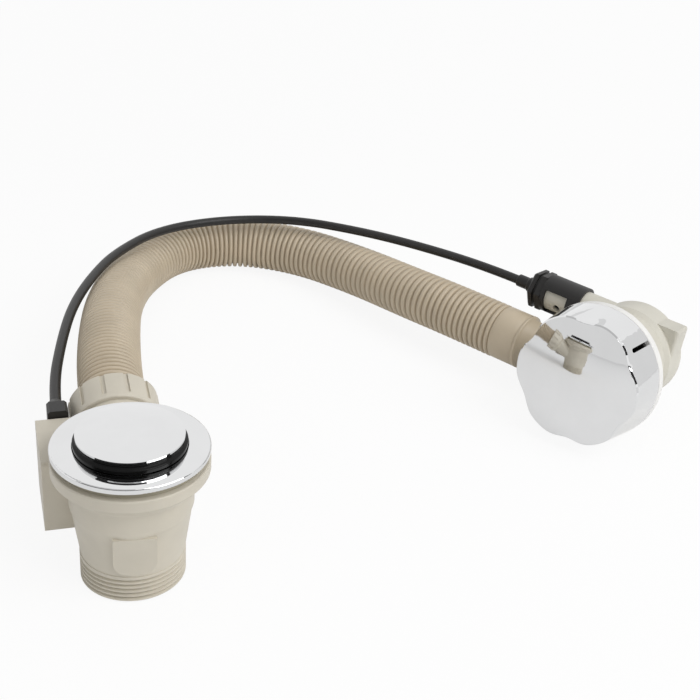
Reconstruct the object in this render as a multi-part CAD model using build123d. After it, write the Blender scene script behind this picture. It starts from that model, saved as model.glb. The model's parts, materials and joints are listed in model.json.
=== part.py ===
from build123d import *
import os
from math import asin, atan2, cos, degrees, pi, radians, sin, tan

os.makedirs("parts", exist_ok=True)

# Bath waste and overflow, millimetres, +Z up.
# The origin is the centre of the outlet thread's lower end, and the hose branch points along +Y.
BASE = (Align.CENTER, Align.CENTER, Align.MIN)
SLACK = 0.3
SLIDE_FIT = 0.15
SHAFT_FIT = 0.1

# Waste body
THREAD_D = 47.8
THREAD_TOP = 14.0
THREAD_RELIEF = 0.3
OUTLET_WALL = 3.9
BODY_WALL = 3.55
SHOULDER_STEP = 0.9
SHOULDER_Z = 39.5
SHOULDER_RUN = 3.0
BOWL_Z = 49.5
BOWL_ROUND = 4.0
LIP_TOP = 62.5
LIP_T = 5.7
LIP_ROUND = 0.8
THROAT_LEDGE = 2.7
THROAT_RUN = 3.0
TAIL_SOCKET_Z = 40.0
PAD_W = 19.0
PAD_ROUND = 8.0
PAD_TOP = 37.0
PAD_LOW = 15.0
PAD_RISE = 0.3
PAD_DEPTH = 5.0
PAD_TURN = -5.0

# Chrome flange, washer and plug
FLANGE_D = 70.0
FLANGE_T = 2.8
FLANGE_ROUND = 1.0
SEAT_D = 42.0
SEAT_DEPTH = 2.0
SEAT_W = 4.3
TAIL_WALL = 3.0
TAIL_LEDGE = 1.5
TAIL_GAP = 1.0
WASHER_INSET = 4.0
WASHER_H = 3.5
WASHER_FOOT = 1.2
WASHER_FOOT_H = 2.0
GUIDE_DEPTH = 16.0
GUIDE_H = 5.0
GUIDE_WALL = 2.0
GUIDE_BUSH_D = 14.0
GUIDE_BUSH_H = 9.0
GUIDE_WEBS = 3
WEB_T = 2.2
CAP_INSET = 1.2
CAP_STAND = 4.2
CAP_EDGE_T = 1.4
CAP_CHAMFER = 0.5
CAP_CROWN = 2.4
SEAL_INSET = 0.3
SEAL_NECK = 1.3
SEAL_LIP_H = 2.2
SEAL_ROUND = 0.6
SEAL_FOOT = 0.8
CARRIER_CLEAR = 1.8
CARRIER_DEPTH = 1.6
STEM_D = 8.0
STEM_GAP = 3.3
STEM_FLARE = 3.0
SCREW_D = 5.0
SCREW_HEAD_D = 8.0
SCREW_HEAD_H = 3.4
LOCKNUT_AF = 8.0
LOCKNUT_T = 4.0
SCREW_BITE = 14.0
SCREW_END_GAP = 2.0
SCREW_CHAMFER = 0.8

# Lift: a crank in the cable box turns a shaft, and an arm on the shaft lifts the plug
PLUG_LIFT = 12.0
SHAFT_Y = 22.0
SHAFT_Z = 30.0
SHAFT_D = 6.4
SHAFT_SQUARE = 4.4
SHAFT_SHOULDER_X = -6.0
CRANK_R = 18.0
CRANK_HUB_D = 11.0
CRANK_END_D = 8.0
CRANK_T = 3.4
CRANK_PIN_D = 4.0
ARM_R = 22.0
ARM_HUB_D = 10.0
ARM_TIP_D = 6.0
ARM_W = 6.0
ARM_DROP = 4.0
ARM_SCREW_HEAD_D = 8.0
ARM_SCREW_HEAD_H = 1.8
ARM_SCREW_ROUND = 0.8
RING_CORD = 1.6

# Cable box on the body, with its cover plate
BOX_LEFT = -36.0
BOX_RIGHT = -21.5
BOX_FRONT = 9.5
BOX_REAR = 47.5
BOX_LOW = 19.0
BOX_TOP = 56.0
BOX_WALL = 2.0
BOX_RADIUS = 2.0
BOSS_D = 13.0
COVER_T = 2.0
COVER_LIP = 1.5
COVER_RIM = 1.2
COVER_SCREW_BITE = 8.0
COVER_SCREWS = ((14.6, 25.0), (42.4, 25.0), (42.4, 37.0))
COVER_BOSS_D = 5.6
COVER_SCREW_D = 2.5
COVER_HEAD_D = 4.6

# Inner wire and its slider in the cable box
WIRE_X = -27.4
WIRE_Z = 51.0
WIRE_D = 1.4
NIPPLE_D = 3.6
NIPPLE_LEN = 4.0
NIPPLE_EDGE = 1.2
SLIDER_W = 6.8
SLIDER_LOW = 42.6
SLIDER_NOSE = 4.5
SLIDER_TAIL = 9.5
SHELF_T = 2.0
SLOT_FIT = 0.4
SLOT_END = 1.0
WIRE_ENTRY = 4.0

# Cable gland behind the box
GLAND_W = 9.5
GLAND_RISE = 8.0
GLAND_DROP = 4.2
GLAND_LEN = 9.5
GLAND_CHAMFER = 1.2
GLAND_CONE = 9.5
GLAND_LIP = 0.9
GLAND_STUB_D = 7.2
SHEATH_D = 5.5
SHEATH_BORE_D = 2.4
SHEATH_SEAT = 4.0

# Hose branch, nut and hose
BRANCH_Z = 31.0
BRANCH_PITCH = 14.0
BRANCH_D = 32.0
BRANCH_ROOT = 12.0
BRANCH_STEP = 3.0
BRANCH_CHAMFER = 1.4
BRANCH_END = 60.0
BRANCH_WALL = 3.0
BRANCH_THREAD_START = 49.0
BRANCH_BORE_D = 25.0
HOSE_SOCKET = 48.0
HOSE_D = 32.5
HOSE_BORE_D = 25.4
NUT_RIM = 2.1
NUT_START = 53.3
NUT_LEN = 16.2
NUT_WALL = 3.4
NUT_BEAD = 3.0
NUT_ROUND = 1.0
NUT_CONE = 3.5
NUT_FLUTES = 12
FLUTE_W = 2.2
FLUTE_DEPTH = 1.1

# Overflow: origin on the flange's front face, local X into the unit along the hose, Y up, Z out of the wall
OVERFLOW_X = 267.2
OVERFLOW_Y = 74.9
OVERFLOW_AZIMUTH = 216.0
OVERFLOW_TILT = 7.0
OVERFLOW_ROLL = -2.5
WALL_SEAL_D = 76.0
WALL_SEAL_T = 4.5
WALL_SEAL_ROUND = 0.8
WALL_SEAL_LEDGE = 1.0
WALL_FLANGE_INSET = 2.0
WALL_FLANGE_T = 2.5
CHAMBER_D = 46.0
CHAMBER_WALL = 3.0
CHAMBER_FLARE = 3.0
DRIVE_D = 56.0
DRIVE_WALL = 2.5
DRIVE_ROOM = 3.0
DRIVE_ROUND = 1.5
INLET_Y = -12.3
INLET_DEPTH = 20.0
INLET_ROOT_D = 27.0
INLET_SHOULDER = 31.0
INLET_SPIGOT_LEN = 28.0
INLET_BORE_D = 20.5
INLET_BORE_ROOT = 8.0
INLET_TAPER = 3.0
BUSH_D = 16.0
BUSH_STAND = 0.5
CABLE_Y = 14.3
CABLE_DEPTH = 40.5
SPIGOT_D = 19.0
SPIGOT_WALL = 2.0
SPIGOT_END = 57.0
SPIGOT_HOLE_D = 4.6
SPIGOT_HOLE_X = 47.5
SPIGOT_HOLE_TURN = -118.0
END_BLOCK_X = 27.0
END_BLOCK_W = 14.0
END_BLOCK_LOW = -3.0
END_BLOCK_TOP = 24.5
END_BLOCK_ROUND = 2.0
CLAMP_CLEAR = 0.8
CLAMP_T = 2.5
CLAMP_SLOTS = 6
CLAMP_SLOT_IN = 6.0
CLAMP_SLOT_LEN = 11.0
CLAMP_SLOT_W = 8.0
CLAMP_NUT_D = 27.0
CLAMP_NUT_T = 4.5
CLAMP_LUGS = 4
CLAMP_LUG_W = 5.0
CLAMP_LUG_RISE = 2.0

# Knob, spindle and drive arm
KNOB_TAPER = 1.7
KNOB_DEPTH = 22.6
KNOB_GAP = 0.9
KNOB_LOBES = 6
LOBE_POINTS = 8
KNOB_SCALLOP = 2.6
KNOB_TURN = 36.0
KNOB_WALL = 2.2
KNOB_EDGE = 0.8
KNOB_DOME = 4.0
KNOB_HUB_D = 15.0
KNOB_SLOT_W = 2.4
KNOB_SLOT_LEN = 17.0
KNOB_SLOT_REACH = 16.0
KNOB_SLOT_TURN = 48.0
SPINDLE_D = 8.0
SPINDLE_SQUARE = 5.4
SPINDLE_NOSE = 9.0
DRIVE_R = 13.0
DRIVE_PIN_D = 3.8
DRIVE_HUB_D = 13.0
DRIVE_END_D = 7.0
DRIVE_T = 2.6
DRIVE_SCREW_BITE = 5.0
UPPER_SLIDER_T = 7.0
UPPER_SLIDER_DROP = 4.3
UPPER_SLIDER_RISE = 6.2
REAR_SCREW_R = 21.0
REAR_SCREW_LEN = 8.0

# Black end of the cable at the overflow
SLEEVE_WALL = 1.8
SLEEVE_END = 34.0
SLEEVE_CAP = 1.6
SLEEVE_WINDOW = 14.5
SLEEVE_WINDOW_TURN = 25.0
SLEEVE_RIM = 1.0
COLLAR_AF = 21.0
COLLAR_LEN = 9.0
COLLAR_CHAMFER = 1.2
COLLAR_GROOVE = 1.8
COLLAR_GROOVE_DEPTH = 1.0
FERRULE_LEN = 12.0
FERRULE_STEP = 4.0
FERRULE_RIM = 0.8
FERRULE_WALL = 0.9

# Middle of the two cords' routes, from the waste to the overflow
HOSE_BENDS = [
    (5.5, 132.0, 49.5),
    (16.5, 203.0, 34.5),
    (36.5, 269.0, 20.0),
    (68.0, 311.0, 17.0),
    (111.0, 317.5, 16.9),
    (152.0, 296.5, 16.9),
    (182.0, 252.0, 20.0),
    (203.0, 201.5, 26.0),
]
HOSE_LEAD = 34.0
HOSE_TAIL = 70.0
CABLE_BENDS = [
    (-19.0, 130.0, 51.5),
    (-9.5, 171.0, 50.5),
    (5.5, 211.0, 48.5),
    (23.0, 246.0, 46.0),
    (55.0, 286.0, 42.0),
    (100.5, 303.0, 39.5),
    (147.5, 294.5, 40.5),
    (183.5, 262.5, 44.0),
    (212.0, 224.5, 48.5),
]
CABLE_LEAD = 30.0

# Sizes that follow from the ones above
SEAT_TOP_D = SEAT_D + 2 * SEAT_W
TAIL_D = SEAT_D + 2 * TAIL_WALL
TAIL_LEDGE_D = SEAT_D - 2 * TAIL_LEDGE
SHOULDER_D = TAIL_D + 2 * (SLIDE_FIT + BODY_WALL)
BODY_HIGH_D = SHOULDER_D - 2 * SHOULDER_STEP
BODY_LOW_D = THREAD_D - 2 * THREAD_RELIEF
OUTLET_BORE_D = THREAD_D - 2 * OUTLET_WALL
THROAT_D = TAIL_D - 2 * THROAT_LEDGE
LIP_D = FLANGE_D
WASHER_D = FLANGE_D - 2 * WASHER_INSET
TAIL_LOW = TAIL_SOCKET_Z + TAIL_GAP
FLANGE_LOW = LIP_TOP + WASHER_H
FLANGE_TOP = FLANGE_LOW + FLANGE_T
GUIDE_LOW = FLANGE_TOP - GUIDE_DEPTH
SEAL_D = SEAT_TOP_D - 2 * SEAL_INSET
CAP_D = SEAL_D - 2 * CAP_INSET
CAP_LOW = FLANGE_TOP + CAP_STAND
CARRIER_D = SEAT_D - 2 * CARRIER_CLEAR
CARRIER_LOW = FLANGE_TOP - CARRIER_DEPTH
BOX_INNER_X = WIRE_X + SLIDER_W / 2 + SLACK
BRANCH_THREAD_D = HOSE_D + 2 * (SLACK + BRANCH_WALL)
NUT_D = BRANCH_THREAD_D + 2 * (SLIDE_FIT + NUT_RIM)
INLET_SPIGOT_D = HOSE_BORE_D - 2 * SLIDE_FIT
SPIGOT_BORE_D = SPIGOT_D - 2 * SPIGOT_WALL
SLEEVE_D = SPIGOT_D + 2 * (SHAFT_FIT + SLEEVE_WALL)
FERRULE_D = SHEATH_D + 2 * (SHAFT_FIT + FERRULE_WALL)
KNOB_REAR_D = WALL_SEAL_D
KNOB_FACE_D = KNOB_REAR_D - 2 * KNOB_TAPER
CLAMP_D = KNOB_REAR_D - 2 * (KNOB_WALL + CLAMP_CLEAR)
BUSH_FRONT = WALL_SEAL_T + CLAMP_T + CLAMP_NUT_T + BUSH_STAND
UPPER_SLIDER_LOW = CABLE_Y - UPPER_SLIDER_DROP
UPPER_SLIDER_TOP = CABLE_Y + UPPER_SLIDER_RISE

CRANK_SWING = asin(PLUG_LIFT / 2 / ARM_R)
WIRE_STROKE = 2 * CRANK_R * sin(CRANK_SWING)
DRIVE_SWING = asin(WIRE_STROKE / 2 / DRIVE_R)


def turned(points, rounds=()):
    """Solid of revolution about Z from (radius, height) corners; rounds holds (corner number, radius)."""
    face = make_face(Polyline(*points, close=True))
    for number, radius in rounds:
        corner = face.vertices().sort_by_distance((*points[number], 0))[0]
        face = fillet(corner, radius)
    return revolve(Plane.XZ * face, Axis.Z)


def block(low, high):
    """Box between two opposite corners."""
    size = [b - a for a, b in zip(low, high)]
    return Pos(*low) * Box(*size, align=(Align.MIN, Align.MIN, Align.MIN))


def rod(diameter, start, end):
    """Cylinder on Z between two heights."""
    return Pos(0, 0, start) * Cylinder(diameter / 2, end - start, align=BASE)


def arm_plate(hub_d, end_d, end_at, start, end):
    """Flat arm from a hub on the local origin to a rounded end, between two heights."""
    outline = make_hull((Circle(hub_d / 2).edges() + (Pos(*end_at) * Circle(end_d / 2)).edges()))
    return Pos(0, 0, start) * extrude(outline, end - start)


def seal_ring(inner_d, cord, height):
    """Round rubber ring about Z."""
    return Pos(0, 0, height) * Torus(inner_d / 2 + cord / 2, cord / 2)


def countersunk_screw(diameter, head_d, length):
    """Countersunk screw with its head's face at the local origin, pointing along -Z."""
    head_h = (head_d - diameter) / 2
    profile = [(0, 0), (head_d / 2, 0), (diameter / 2, -head_h), (diameter / 2, -length), (0, -length)]
    return turned(profile)


def cord_tube(start, bends, end, diameter, bore):
    """Tube along straight runs that are joined by tangent arcs, with the radii it used."""
    points = [Vector(*point) for point in bends]
    points = [place.position for place in start] + points + [place.position for place in end]
    radii = []
    for before, corner, after in zip(points, points[1:], points[2:]):
        turn = radians((corner - before).get_angle(after - corner))
        shorter = min((corner - before).length, (after - corner).length)
        radii.append(0.45 * shorter / tan(turn / 2))
    path = FilletPolyline(*points, radius=radii)
    section = Plane(origin=path @ 0, z_dir=path % 0) * (Circle(diameter / 2) - Circle(bore / 2))
    return sweep(section, path), path, radii


def overflow_frame():
    """Place of the overflow unit, which stands on the rim of its wall seal."""
    azimuth = radians(OVERFLOW_AZIMUTH)
    tilt = radians(OVERFLOW_TILT)
    out = Vector(cos(azimuth) * cos(tilt), sin(azimuth) * cos(tilt), sin(tilt))
    level = Vector(-sin(azimuth), cos(azimuth), 0)
    height = WALL_SEAL_D / 2 * cos(tilt)
    plane = Plane(origin=(OVERFLOW_X, OVERFLOW_Y, height), x_dir=level, z_dir=out)
    return Location(plane) * Rot(0, 0, OVERFLOW_ROLL)


BRANCH_DIR = (0, cos(radians(BRANCH_PITCH)), sin(radians(BRANCH_PITCH)))
BRANCH = Location(Plane(origin=(0, 0, BRANCH_Z), x_dir=(1, 0, 0), z_dir=BRANCH_DIR))
LIFT = Location(Plane(origin=(0, SHAFT_Y, SHAFT_Z), x_dir=(0, 1, 0), z_dir=(1, 0, 0)))
GLAND = Location(Plane(origin=(WIRE_X, BOX_REAR, WIRE_Z), x_dir=(1, 0, 0), z_dir=(0, 1, 0)))
OVERFLOW = overflow_frame()
INLET = Location(Plane(origin=(0, INLET_Y, -INLET_DEPTH), x_dir=(0, 1, 0), z_dir=(-1, 0, 0)))
CABLE_END = Location(Plane(origin=(0, CABLE_Y, -CABLE_DEPTH), x_dir=(0, 1, 0), z_dir=(-1, 0, 0)))

CRANK_PIN_AT = (-CRANK_R * sin(CRANK_SWING), CRANK_R * cos(CRANK_SWING))
CRANK_PIN_Y = SHAFT_Y + CRANK_PIN_AT[0]
LOWER_NIPPLE_Y = CRANK_PIN_Y + SLIDER_TAIL - NIPPLE_D / 2 - NIPPLE_EDGE
ARM_TIP_AT = (-ARM_R * cos(CRANK_SWING), -ARM_R * sin(CRANK_SWING))
SCREW_LOW = SHAFT_Z + ARM_TIP_AT[1] + ARM_TIP_D / 2 + SLACK
STEM_LOW = SCREW_LOW + SCREW_HEAD_H + LOCKNUT_T + STEM_GAP
DRIVE_PIN_AT = (-DRIVE_R * sin(DRIVE_SWING), DRIVE_R * cos(DRIVE_SWING))
UPPER_NIPPLE_X = DRIVE_PIN_AT[0] - SLIDER_TAIL + NIPPLE_D / 2 + NIPPLE_EDGE
KNOB_REAR = WALL_SEAL_T + KNOB_GAP
KNOB_FACE = KNOB_REAR + KNOB_DEPTH
DRIVE_ARM_FRONT = -CABLE_DEPTH + UPPER_SLIDER_T / 2 + 2 * SLACK + DRIVE_T
DRIVE_FRONT = DRIVE_ARM_FRONT + SLACK
DRIVE_REAR = -CABLE_DEPTH - UPPER_SLIDER_T / 2 - DRIVE_ROOM - DRIVE_WALL
CHAMBER_REAR = DRIVE_FRONT + DRIVE_WALL


def waste_body():
    """Moulded body: outlet thread, tapered wall, bath lip, hose branch and cable box."""
    cone_top = SHOULDER_Z - SHOULDER_RUN
    body = turned(
        [
            (0, 0),
            (THREAD_D / 2, 0),
            (THREAD_D / 2, THREAD_TOP),
            (BODY_LOW_D / 2, THREAD_TOP),
            (BODY_HIGH_D / 2, cone_top),
            (SHOULDER_D / 2, SHOULDER_Z),
            (SHOULDER_D / 2, BOWL_Z),
            (LIP_D / 2, LIP_TOP - LIP_T),
            (LIP_D / 2, LIP_TOP),
            (0, LIP_TOP),
        ],
        rounds=((6, BOWL_ROUND), (7, LIP_ROUND), (8, LIP_ROUND)),
    )

    widening = (BODY_HIGH_D - BODY_LOW_D) / 2 / (cone_top - THREAD_TOP)
    slope = atan2(widening, 1)
    pad_z = (PAD_TOP + PAD_LOW) / 2
    pad_y = BODY_LOW_D / 2 + widening * (pad_z - THREAD_TOP) + PAD_RISE
    pad_out = (0, -cos(slope), -sin(slope))
    pad = Rectangle(PAD_W, PAD_TOP - PAD_LOW)
    pad = fillet(pad.vertices().sort_by(Axis.Y)[:2], PAD_ROUND)
    pad = extrude(Plane(origin=(0, -pad_y, pad_z), x_dir=(1, 0, 0), z_dir=pad_out) * pad, -PAD_DEPTH)
    body += Rot(0, 0, PAD_TURN) * pad

    box = block((BOX_LEFT, BOX_FRONT, BOX_LOW), (BOX_RIGHT, BOX_REAR, BOX_TOP))
    box = fillet(box.edges().filter_by(Axis.X), BOX_RADIUS)
    boss = LIFT * rod(BOSS_D, BOX_RIGHT - 1, SHAFT_SHOULDER_X)
    branch = BRANCH * turned([
        (0, BRANCH_ROOT),
        (BRANCH_D / 2, BRANCH_ROOT),
        (BRANCH_D / 2, BRANCH_THREAD_START - BRANCH_STEP),
        (BRANCH_THREAD_D / 2, BRANCH_THREAD_START),
        (BRANCH_THREAD_D / 2, BRANCH_END),
        (0, BRANCH_END),
    ])
    body += box + boss + branch

    throat = turned([
        (0, -1),
        (OUTLET_BORE_D / 2, -1),
        (OUTLET_BORE_D / 2, THREAD_TOP),
        (THROAT_D / 2, TAIL_SOCKET_Z - THROAT_RUN),
        (THROAT_D / 2, TAIL_SOCKET_Z),
        (TAIL_D / 2 + SLIDE_FIT, TAIL_SOCKET_Z),
        (TAIL_D / 2 + SLIDE_FIT, LIP_TOP + 1),
        (0, LIP_TOP + 1),
    ])
    mouth = BRANCH * turned([
        (0, BRANCH_ROOT - 2),
        (BRANCH_BORE_D / 2, BRANCH_ROOT - 2),
        (BRANCH_BORE_D / 2, HOSE_SOCKET),
        (HOSE_D / 2 + SLACK, HOSE_SOCKET),
        (HOSE_D / 2 + SLACK, BRANCH_END - 2 * BRANCH_CHAMFER),
        (HOSE_D / 2 + SLACK + 1.5 * BRANCH_CHAMFER, BRANCH_END + BRANCH_CHAMFER),
        (0, BRANCH_END + BRANCH_CHAMFER),
    ])
    body -= throat + mouth

    room = block(
        (BOX_LEFT - 1, BOX_FRONT + BOX_WALL, BOX_LOW + BOX_WALL),
        (BOX_INNER_X, BOX_REAR - BOX_WALL, BOX_TOP - BOX_WALL),
    )
    for y, z in COVER_SCREWS:
        post = Pos(0, y, z) * Rot(0, 90, 0) * rod(COVER_BOSS_D, BOX_LEFT + COVER_LIP, BOX_INNER_X + 1)
        hole = Pos(0, y, z) * Rot(0, 90, 0) * rod(COVER_SCREW_D, BOX_LEFT, BOX_LEFT + COVER_SCREW_BITE + 1)
        room -= post - hole
    shelf_high = SLIDER_LOW - SLACK
    shelf = block(
        (WIRE_X - SLIDER_W / 2, BOX_FRONT, shelf_high - SHELF_T),
        (BOX_INNER_X + 1, BOX_REAR, shelf_high),
    )
    body -= room - shelf
    body -= LIFT * rod(SHAFT_D + 2 * SHAFT_FIT, BOX_LEFT, 0)
    ring_bore = SHAFT_D + 2 * RING_CORD + 4 * SHAFT_FIT
    body -= LIFT * rod(ring_bore, BOX_INNER_X - 1, BOX_INNER_X + RING_CORD + SLACK)
    body -= GLAND * rod(GLAND_STUB_D + 2 * SHAFT_FIT, -BOX_WALL - 1, 1)
    return body


def waste_flange():
    """Chrome flange with its seat and the tubular tail that screws into the body."""
    return turned(
        [
            (TAIL_LEDGE_D / 2, TAIL_LOW),
            (TAIL_D / 2, TAIL_LOW),
            (TAIL_D / 2, FLANGE_LOW),
            (FLANGE_D / 2, FLANGE_LOW),
            (FLANGE_D / 2, FLANGE_TOP),
            (SEAT_TOP_D / 2, FLANGE_TOP),
            (SEAT_D / 2, FLANGE_TOP - SEAT_DEPTH),
            (SEAT_D / 2, GUIDE_LOW),
            (TAIL_LEDGE_D / 2, GUIDE_LOW),
        ],
        rounds=((3, FLANGE_ROUND / 2), (4, FLANGE_ROUND)),
    )


def bath_washer():
    """Thick washer between the body's lip and the flange."""
    inner = TAIL_D / 2 + SLIDE_FIT
    return turned([
        (inner, LIP_TOP),
        (WASHER_D / 2 + WASHER_FOOT, LIP_TOP),
        (WASHER_D / 2, LIP_TOP + WASHER_FOOT_H),
        (WASHER_D / 2, FLANGE_LOW),
        (inner, FLANGE_LOW),
    ])


def plug_guide():
    """Ring with three webs and a bush for the plug's stem."""
    outer = SEAT_D - 2 * SHAFT_FIT
    inner = outer - 2 * GUIDE_WALL
    guide = rod(outer, GUIDE_LOW, GUIDE_LOW + GUIDE_H) - rod(inner, GUIDE_LOW, GUIDE_LOW + GUIDE_H)
    web_len = outer / 2 - GUIDE_WALL / 2
    web = Pos(web_len / 2, 0, GUIDE_LOW) * Box(web_len, WEB_T, GUIDE_H, align=BASE)
    for number in range(GUIDE_WEBS):
        guide += Rot(0, 0, 90 + number * 360 / GUIDE_WEBS) * web
    guide += rod(GUIDE_BUSH_D, GUIDE_LOW, GUIDE_LOW + GUIDE_BUSH_H)
    return guide - rod(STEM_D + 4 * SHAFT_FIT, GUIDE_LOW, GUIDE_LOW + GUIDE_BUSH_H)


def plug_cap():
    """Domed chrome cap of the plug."""
    crown = CAP_LOW + CAP_EDGE_T + CAP_CROWN
    ball_r = ((CAP_D / 2) ** 2 + CAP_CROWN ** 2) / (2 * CAP_CROWN)
    cap = rod(CAP_D, CAP_LOW, crown)
    cap = chamfer(cap.edges().sort_by(Axis.Z)[0], CAP_CHAMFER)
    return cap & Pos(0, 0, crown - ball_r) * Sphere(ball_r)


def plug_seal():
    """Black seal below the cap, a clearance above its seat."""
    slope = SEAT_DEPTH / SEAT_W
    inner = CARRIER_D / 2
    low = FLANGE_TOP - SEAT_DEPTH + SLACK + SHAFT_FIT
    lip = SEAL_D / 2
    return turned(
        [
            (inner, low + slope * SEAL_FOOT),
            (SEAT_D / 2 + SEAL_FOOT, low + slope * SEAL_FOOT),
            (lip, low + slope * (lip - SEAT_D / 2)),
            (lip, FLANGE_TOP + SEAL_LIP_H),
            (lip - SEAL_NECK, CAP_LOW - SEAL_NECK),
            (lip - SEAL_NECK, CAP_LOW),
            (inner, CAP_LOW),
        ],
        rounds=((3, SEAL_ROUND),),
    )


def plug_carrier():
    """Plug body with the stem that runs in the guide."""
    bore = SCREW_D / 2
    bore_end = STEM_LOW + SCREW_BITE + SCREW_END_GAP
    return turned([
        (bore, STEM_LOW),
        (STEM_D / 2, STEM_LOW),
        (STEM_D / 2, CARRIER_LOW - STEM_FLARE),
        (STEM_D / 2 + STEM_FLARE, CARRIER_LOW),
        (CARRIER_D / 2, CARRIER_LOW),
        (CARRIER_D / 2, CAP_LOW),
        (0, CAP_LOW),
        (0, bore_end),
        (bore, bore_end),
    ])


def adjusting_screw():
    """Screw in the stem's end, whose round head rides on the lift arm."""
    head = rod(SCREW_HEAD_D, SCREW_LOW, SCREW_LOW + SCREW_HEAD_H)
    head = chamfer(head.edges().sort_by(Axis.Z)[0], SCREW_CHAMFER)
    return head + rod(SCREW_D, SCREW_LOW + SCREW_HEAD_H, STEM_LOW + SCREW_BITE)


def adjusting_nut():
    """Six-sided locknut below the stem."""
    outline = RegularPolygon(LOCKNUT_AF / 2, 6, major_radius=False) - Circle(SCREW_D / 2)
    return Pos(0, 0, STEM_LOW - LOCKNUT_T) * extrude(outline, LOCKNUT_T)


def lift_crank():
    """Crank and shaft in one: plate by the cover, pin into the slider, square end for the arm."""
    plate_in = WIRE_X - SLIDER_W / 2 - SLACK
    plate = arm_plate(CRANK_HUB_D, CRANK_END_D, CRANK_PIN_AT, plate_in - CRANK_T, plate_in)
    pin = Pos(*CRANK_PIN_AT) * rod(CRANK_PIN_D, plate_in, BOX_INNER_X - SLACK)
    shaft = rod(SHAFT_D, plate_in, SHAFT_SHOULDER_X)
    square_len = ARM_W / 2 - SHAFT_SHOULDER_X
    square = Pos(0, 0, SHAFT_SHOULDER_X) * Box(SHAFT_SQUARE, SHAFT_SQUARE, square_len, align=BASE)
    hole = rod(COVER_SCREW_D, -ARM_W / 2, ARM_W / 2 + 1)
    return LIFT * (plate + pin + shaft + square - hole)


def shaft_ring():
    """Rubber ring round the lift shaft, in the box wall."""
    inner = SHAFT_D + 2 * SHAFT_FIT
    return LIFT * seal_ring(inner, RING_CORD, BOX_INNER_X + RING_CORD / 2 + SHAFT_FIT)


def lift_arm():
    """Arm on the shaft's square end, with a raised round nose below the adjusting screw."""
    low_end = (ARM_TIP_AT[0], ARM_TIP_AT[1] - ARM_DROP)
    arm = arm_plate(ARM_HUB_D, ARM_TIP_D, low_end, -ARM_W / 2, ARM_W / 2)
    nose = arm_plate(ARM_TIP_D, ARM_TIP_D, (0, ARM_DROP), -ARM_W / 2, ARM_W / 2)
    arm += Pos(*low_end) * nose
    hole = Pos(0, 0, -ARM_W / 2) * Box(SHAFT_SQUARE, SHAFT_SQUARE, ARM_W, align=BASE)
    return LIFT * (arm - hole)


def arm_screw():
    """Screw with a round washer head that holds the arm on the shaft."""
    head = rod(ARM_SCREW_HEAD_D, ARM_W / 2, ARM_W / 2 + ARM_SCREW_HEAD_H)
    head = fillet(head.edges().sort_by(Axis.Z)[-1], ARM_SCREW_ROUND)
    return LIFT * (head + rod(COVER_SCREW_D, -ARM_W / 2 + 0.5, ARM_W / 2))


def lower_slider():
    """Sliding block at the wire's end, with a slot for the crank's pin."""
    high = BOX_TOP - BOX_WALL - SLACK
    left = WIRE_X - SLIDER_W / 2
    right = WIRE_X + SLIDER_W / 2
    body = block((left, CRANK_PIN_Y - SLIDER_NOSE, SLIDER_LOW), (right, CRANK_PIN_Y + SLIDER_TAIL, high))
    slot_w = CRANK_PIN_D / 2 + SLOT_FIT
    slot = block(
        (left, CRANK_PIN_Y - slot_w, SHAFT_Z + CRANK_PIN_AT[1] - CRANK_PIN_D / 2 - SLOT_END),
        (right, CRANK_PIN_Y + slot_w, SHAFT_Z + CRANK_R + CRANK_PIN_D / 2 + SLOT_END),
    )
    pocket = Pos(WIRE_X, LOWER_NIPPLE_Y, 0) * rod(NIPPLE_D, WIRE_Z - NIPPLE_LEN / 2, high)
    groove = block(
        (WIRE_X - WIRE_D / 2, LOWER_NIPPLE_Y, WIRE_Z - WIRE_D / 2),
        (WIRE_X + WIRE_D / 2, BOX_REAR, high),
    )
    return body - slot - pocket - groove


def lower_wire():
    """Inner wire with its barrel end in the slider, running into the sheath."""
    nipple = Pos(WIRE_X, LOWER_NIPPLE_Y, 0) * rod(NIPPLE_D, WIRE_Z - NIPPLE_LEN / 2, WIRE_Z + NIPPLE_LEN / 2)
    run = GLAND * rod(WIRE_D, LOWER_NIPPLE_Y - BOX_REAR, SHEATH_SEAT + WIRE_ENTRY)
    return nipple + run


def crank_cover():
    """Cover plate of the cable box with a rim that locates it."""
    plate = block((BOX_LEFT - COVER_T, BOX_FRONT, BOX_LOW), (BOX_LEFT, BOX_REAR, BOX_TOP))
    plate = fillet(plate.edges().filter_by(Axis.X), BOX_RADIUS)
    inset = BOX_WALL + SHAFT_FIT
    inner = inset + COVER_RIM
    rim = block(
        (BOX_LEFT, BOX_FRONT + inset, BOX_LOW + inset),
        (BOX_LEFT + COVER_LIP - SHAFT_FIT, BOX_REAR - inset, BOX_TOP - inset),
    )
    rim -= block(
        (BOX_LEFT, BOX_FRONT + inner, BOX_LOW + inner),
        (BOX_LEFT + COVER_LIP, BOX_REAR - inner, BOX_TOP - inner),
    )
    cover = plate + rim
    for y, z in COVER_SCREWS:
        cover += Pos(0, y, z) * Rot(0, 90, 0) * rod(COVER_BOSS_D, BOX_LEFT, BOX_LEFT + COVER_LIP - SHAFT_FIT)
    for screw in cover_screw_places():
        cover -= screw * countersunk_screw(COVER_SCREW_D, COVER_HEAD_D, COVER_T + COVER_LIP)
    return cover


def cover_screw_places():
    """Places of the cover screws on the outer face."""
    return [Pos(BOX_LEFT - COVER_T, y, z) * Rot(0, -90, 0) for y, z in COVER_SCREWS]


def cover_screws():
    """Countersunk screws of the cable box cover."""
    screw = countersunk_screw(COVER_SCREW_D, COVER_HEAD_D, COVER_T + COVER_SCREW_BITE)
    return Compound(children=[place * screw for place in cover_screw_places()])


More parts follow.
